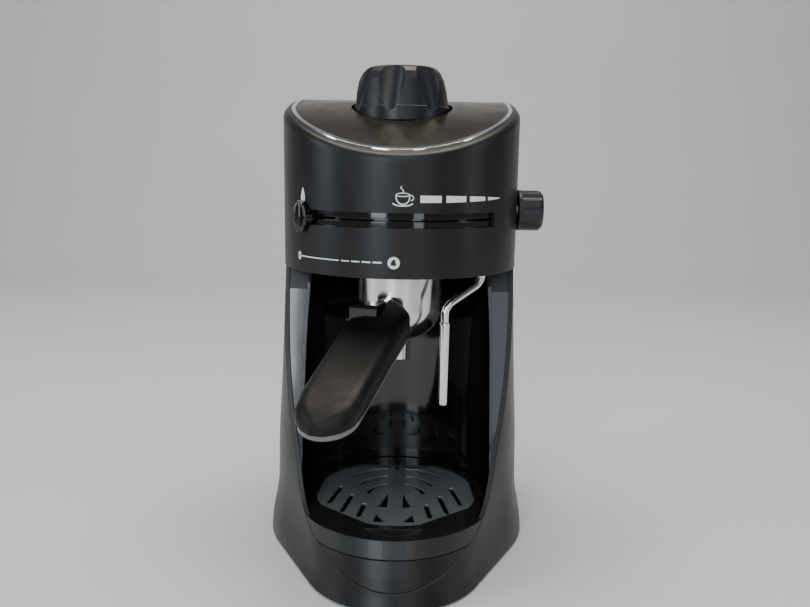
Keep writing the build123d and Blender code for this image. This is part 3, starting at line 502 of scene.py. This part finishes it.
def print_patch(name, outline, step=1.5):
    """White mark wrapped on the head: outline is a list of (azimuth, height) corners."""
    mesh = bmesh.new()
    verts = [mesh.verts.new((a, z / MM, 0.0)) for a, z in outline]
    face = mesh.faces.new(verts)
    bmesh.ops.triangulate(mesh, faces=[face])
    lo, hi = min(a for a, _ in outline), max(a for a, _ in outline)
    cut = lo + step
    while cut < hi:
        everything = mesh.verts[:] + mesh.edges[:] + mesh.faces[:]
        bmesh.ops.bisect_plane(mesh, geom=everything, plane_co=(cut, 0, 0), plane_no=(1, 0, 0))
        cut += step
    out = bmesh.ops.extrude_face_region(mesh, geom=mesh.faces[:])
    lifted = {v for v in out["geom"] if isinstance(v, bmesh.types.BMVert)}
    for v in mesh.verts:
        r = HEAD_RADIUS + (INK_LIFT if v in lifted else INK_LIFT - INK_DEPTH)
        v.co = front_point(r, v.co.x, v.co.y * MM)
    data = bpy.data.meshes.new(name)
    bmesh.ops.recalc_face_normals(mesh, faces=mesh.faces)
    mesh.to_mesh(data)
    mesh.free()
    data.materials.append(INK)
    piece = bpy.data.objects.new(name, data)
    bpy.context.scene.collection.objects.link(piece)
    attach(piece, "machine")
    return piece


AZ_PER_M = degrees(1.0) / HEAD_RADIUS


def at(azimuth, z, x, y):
    """Corner at x, y millimetres from a mark's centre on the head."""
    return azimuth + x * MM * AZ_PER_M, z + y * MM


def ring_mark(name, azimuth, z, rx, ry, width, start=0.0, end=360.0, steps=40):
    """Part of an oval line."""
    turns = [radians(start + (end - start) * i / steps) for i in range(steps + 1)]
    if end - start >= 360:
        half = steps // 2
        for part, span in (("a", turns[:half + 1]), ("b", turns[half:])):
            ring_strip(f"{name}_{part}", azimuth, z, rx, ry, width, span)
    else:
        ring_strip(name, azimuth, z, rx, ry, width, turns)


def ring_strip(name, azimuth, z, rx, ry, width, turns):
    """Piece of an oval line through the given directions."""
    outer = [at(azimuth, z, rx * cos(t), ry * sin(t)) for t in turns]
    inner = [at(azimuth, z, (rx - width) * cos(t), (ry - width) * sin(t)) for t in turns]
    print_patch(name, outer + inner[::-1])


def line_mark(name, azimuth, z, points, width):
    """Line of even width through points in millimetres from the mark's centre."""
    left, right = [], []
    for i, (x, y) in enumerate(points):
        px, py = points[max(0, i - 1)]
        nx, ny = points[min(len(points) - 1, i + 1)]
        length = hypot(nx - px, ny - py)
        ox, oy = -(ny - py) / length * width / 2, (nx - px) / length * width / 2
        left.append(at(azimuth, z, x + ox, y + oy))
        right.append(at(azimuth, z, x - ox, y - oy))
    print_patch(name, left + right[::-1])


def disc_mark(name, azimuth, z, rx, ry, steps=28):
    """Filled oval."""
    print_patch(name, [at(azimuth, z, rx * cos(2 * pi * i / steps), ry * sin(2 * pi * i / steps))
                       for i in range(steps)])


STRENGTH_Z = 0.2424
# start and end azimuth of each bar, and its height in millimetres at both
STRENGTH_BARS = ((9.5, 19.0, 4.3, 4.1), (21.2, 31.0, 4.1, 3.6), (33.0, 42.0, 3.4, 2.4),
                 (43.8, 52.5, 2.3, 0.5))
SIGN_Z = 0.2435             # middle of the cup and of the drop
CUP_AZIMUTH = 2.0
SCALE_Z = 0.2044
SCALE_START, SCALE_END = -50.8, -27.0
RING_AZIMUTH, BADGE_AZIMUTH, BADGE_R = -52.5, -1.6, 3.7
FIRST_DASH, DASH_STEP, DASH_LENGTH = -25.8, 5.0, 4.0
# right half of the padlock in millimetres from the badge's centre
PADLOCK = ((0.0, 2.1), (0.8, 1.8), (1.1, 1.2), (1.1, 0.5), (1.75, 0.5), (1.75, -1.7), (0.0, -1.7))


def strength_bars():
    """Four bars that shrink to a point."""
    for i, (a0, a1, h0, h1) in enumerate(STRENGTH_BARS):
        z = STRENGTH_Z
        print_patch(f"print_bar_{i}", [(a0, z - h0 / 2 * MM), (a1, z - h1 / 2 * MM),
                                       (a1, z + h1 / 2 * MM), (a0, z + h0 / 2 * MM)])


def cup_sign():
    """Cup with a handle on a saucer, and a curl of steam."""
    az, z = CUP_AZIMUTH, SIGN_Z
    bowl = [(4.0 * cos(t), 4.2 * sin(t)) for t in [pi + pi * i / 16 for i in range(17)]]
    line_mark("print_cup_bowl", az, z, [(-4.0, 1.2), *bowl[1:-1], (4.0, 1.2)], 0.75)
    ring_mark("print_cup_rim", az, z + 1.4 * MM, 4.3, 1.3, 0.6)
    ring_mark("print_cup_ear", az + 3.2, z - 0.4 * MM, 2.2, 1.9, 0.6, -80.0, 95.0, 14)
    line_mark("print_saucer", az, z, [(-6.0, -3.6), (-4.5, -4.6), (-2.0, -5.1), (2.0, -5.1),
                                      (4.5, -4.6), (6.0, -3.6)], 0.8)
    steam = [(0.8 * sin(1.9 * pi * i / 10) - 0.4, 2.4 + 0.40 * i) for i in range(11)]
    line_mark("print_steam", az, z, steam, 0.6)


def drop_sign():
    """Water drop."""
    tall = [(3.2 * sin(t) * (1 - 0.8 * (1 + cos(t)) / 2), -0.9 + 4.9 * cos(t)) for t in
            [2 * pi * i / 28 for i in range(28)]]
    print_patch("print_drop", [at(LEVER_AZIMUTH, SIGN_Z, x, y) for x, y in tall])


def position_scale():
    """Lower scale: an oval with a dot, a line, four dashes and a badge with a padlock."""
    z = SCALE_Z
    ring_mark("print_open_ring", RING_AZIMUTH, z, 1.8, 2.7, 0.55)
    disc_mark("print_open_dot", RING_AZIMUTH, z, 0.5, 0.7, 12)
    print_patch("print_scale_line", [(SCALE_START, z - 0.5 * MM), (SCALE_END, z - 0.35 * MM),
                                     (SCALE_END, z + 0.35 * MM), (SCALE_START, z + 0.3 * MM)])
    for i in range(4):
        a = FIRST_DASH + DASH_STEP * i
        h = (0.35 + 0.06 * i) * MM
        print_patch(f"print_dash_{i}", [(a, z - h), (a + DASH_LENGTH, z - h),
                                        (a + DASH_LENGTH, z + h), (a, z + h)])
    for side, name in ((1, "right"), (-1, "left")):
        turns = [-pi / 2 + pi * i / 20 for i in range(21)]
        rim = [(BADGE_R * cos(a), BADGE_R * sin(a)) for a in turns]
        print_patch(f"print_badge_{name}",
                    [at(BADGE_AZIMUTH, z, side * x, y) for x, y in (*rim, *PADLOCK)])


strength_bars()
cup_sign()
drop_sign()
position_scale()


# ---------------------------------------------------------------- thumb piece of the lever
LEVER_HALF_W, LEVER_HALF_H = 7.2 * MM, 10.2 * MM
LEVER_IN, LEVER_OUT = 0.9 * MM, 6.8 * MM    # distances from the head
RIB_HALF_W = 1.5 * MM
RIM_RISE = 0.30
LEVER_SHARES = (0.02, *(0.1 * i for i in range(1, 9)), 0.87, 0.93, 0.97, 1.0)


def lever_point(share, turn, rise):
    """Point of the thumb piece: share of the oval's radius, direction, distance from the head."""
    across, along = LEVER_HALF_W * share * cos(turn), LEVER_HALF_H * share * sin(turn)
    to_lever = Matrix.Rotation(radians(LEVER_AZIMUTH), 3, "Z")
    spot = to_lever @ Vector((across, -(HEAD_RADIUS + rise), 0.0))
    return Vector((spot.x, spot.y, SLOT_MIDDLE + along))


def lever_rise(share, turn):
    """Hollowed front face with a rib down the middle and a rounded rim."""
    across = LEVER_HALF_W * share * cos(turn)
    rib = 2.718 ** (-(across / RIB_HALF_W) ** 2)
    rim = RIM_RISE * share ** 4
    edge = sqrt(max(0.0, 1.0 - share ** 10))
    swell = 0.42 + (0.58 - 0.2 * share ** 2) * max(rib, rim)
    return LEVER_IN + (LEVER_OUT - LEVER_IN) * swell * (0.35 + 0.65 * edge)


def thumb_piece():
    """Oval thumb piece of the selector, in place of the plain one."""
    turns = [2 * pi * k / 64 for k in range(64)]
    rings = [[lever_point(s, a, lever_rise(s, a)) for a in turns] for s in LEVER_SHARES]
    rings.append([lever_point(0.98, a, LEVER_IN) for a in turns])
    verts, faces = rings_to_mesh(rings)
    on_body("lever_thumb_piece", verts, faces, GLOSS, "selector",
            replaced=("selector_lever",))


thumb_piece()


# ---------------------------------------------------------------- studio
def sweep_backdrop():
    """Pale floor that curves up into a wall behind the machine."""
    half, near, start, radius, top = 3.0, -2.5, 1.1, 0.5, 2.4
    line = [(near, 0.0), (start, 0.0)]
    line += [(start + radius * sin(a), radius - radius * cos(a)) for a in
             [pi / 2 * i / 16 for i in range(1, 17)]]
    line.append((start + radius, top))
    verts = [(x, y, z) for y, z in line for x in (-half, half)]
    faces = [(2 * i, 2 * i + 1, 2 * i + 3, 2 * i + 2) for i in range(len(line) - 1)]
    mesh = bpy.data.meshes.new("studio_floor")
    mesh.from_pydata(verts, [], faces)
    mesh.shade_smooth()
    material, tree, shader = new_material("studio_paper")
    cloud = noise(tree, coordinates(tree), 3.0, 3.0)
    paper = mix_colour(tree, cloud, (0.70, 0.71, 0.72), (0.76, 0.76, 0.76))
    link(tree, paper, shader, "Base Color")
    shader.inputs["Roughness"].default_value = 0.65
    mesh.materials.append(material)
    floor = bpy.data.objects.new("studio_floor", mesh)
    bpy.context.scene.collection.objects.link(floor)


def area_light(name, place_at, aim, size, power, colour=(1.0, 1.0, 1.0)):
    """Rectangular lamp that points at a spot."""
    light = bpy.data.lights.new(name, "AREA")
    light.shape = "RECTANGLE"
    light.size, light.size_y = size
    light.energy = power
    light.color = colour
    lamp = bpy.data.objects.new(name, light)
    lamp.location = place_at
    lamp.rotation_euler = (Vector(aim) - Vector(place_at)).to_track_quat("-Z", "Y").to_euler()
    bpy.context.scene.collection.objects.link(lamp)


def studio_lights():
    """Tall lights at both sides, near and far, a soft ceiling and a fill from the front."""
    world = bpy.data.worlds.new("studio")
    world.use_nodes = True
    world.node_tree.nodes["Background"].inputs["Color"].default_value = (0.80, 0.86, 0.95, 1.0)
    world.node_tree.nodes["Background"].inputs["Strength"].default_value = 0.18
    bpy.context.scene.world = world
    cool, cooler, pale = (0.88, 0.94, 1.0), (0.84, 0.92, 1.0), (0.92, 0.96, 1.0)
    area_light("window_left", (-1.5, -0.45, 0.75), (0, 0, 0.16), (0.35, 1.3), 7.0, cooler)
    area_light("window_right", (1.4, -0.5, 0.7), (0, 0, 0.15), (0.25, 1.2), 3.0, cool)
    area_light("near_left", (-0.50, -1.4, 0.5), (0, 0, 0.12), (0.40, 0.8), 6.0, cool)
    area_light("near_right", (0.45, -1.35, 0.45), (0, 0, 0.12), (0.25, 0.8), 1.4, pale)
    area_light("ceiling", (0.0, 0.2, 1.8), (0, 0.0, 0.1), (1.4, 0.8), 26.0, (1.0, 0.91, 0.80))
    for side in (-1, 1):
        area_light(f"high_box_{side}", (side * 0.36, -1.9, 1.0), (0, 0, 0.12), (0.45, 0.8), 1.6,
                   (0.80, 0.90, 1.0))
    area_light("front_fill", (-0.2, -1.7, 1.9), (0, -0.1, 0.1), (1.2, 0.5), 8.0)


def studio_camera():
    """Camera in front of the machine, a little above its head, looking slightly down."""
    distance, height, side = 0.553, 0.267, 0.004
    yaw, pitch, roll = radians(0.7), radians(10.4), radians(0.9)
    forward = Vector((-sin(yaw) * cos(pitch), cos(yaw) * cos(pitch), -sin(pitch)))
    right = Vector((cos(yaw), sin(yaw), 0.0))
    up = right.cross(forward)
    right, up = right * cos(roll) + up * sin(roll), up * cos(roll) - right * sin(roll)
    place_at = Vector((sin(yaw), -cos(yaw), 0.0)) * distance
    place_at += Vector((cos(yaw), sin(yaw), 0.0)) * side
    place_at.z = height
    camera = bpy.data.objects.new("camera", bpy.data.cameras.new("camera"))
    camera.data.sensor_width = 36.0
    camera.data.lens = 35.56
    turn = Matrix((right, up, -forward)).transposed().to_4x4()
    camera.matrix_world = Matrix.Translation(place_at) @ turn
    bpy.context.scene.collection.objects.link(camera)
    bpy.context.scene.camera = camera


sweep_backdrop()
studio_lights()
studio_camera()
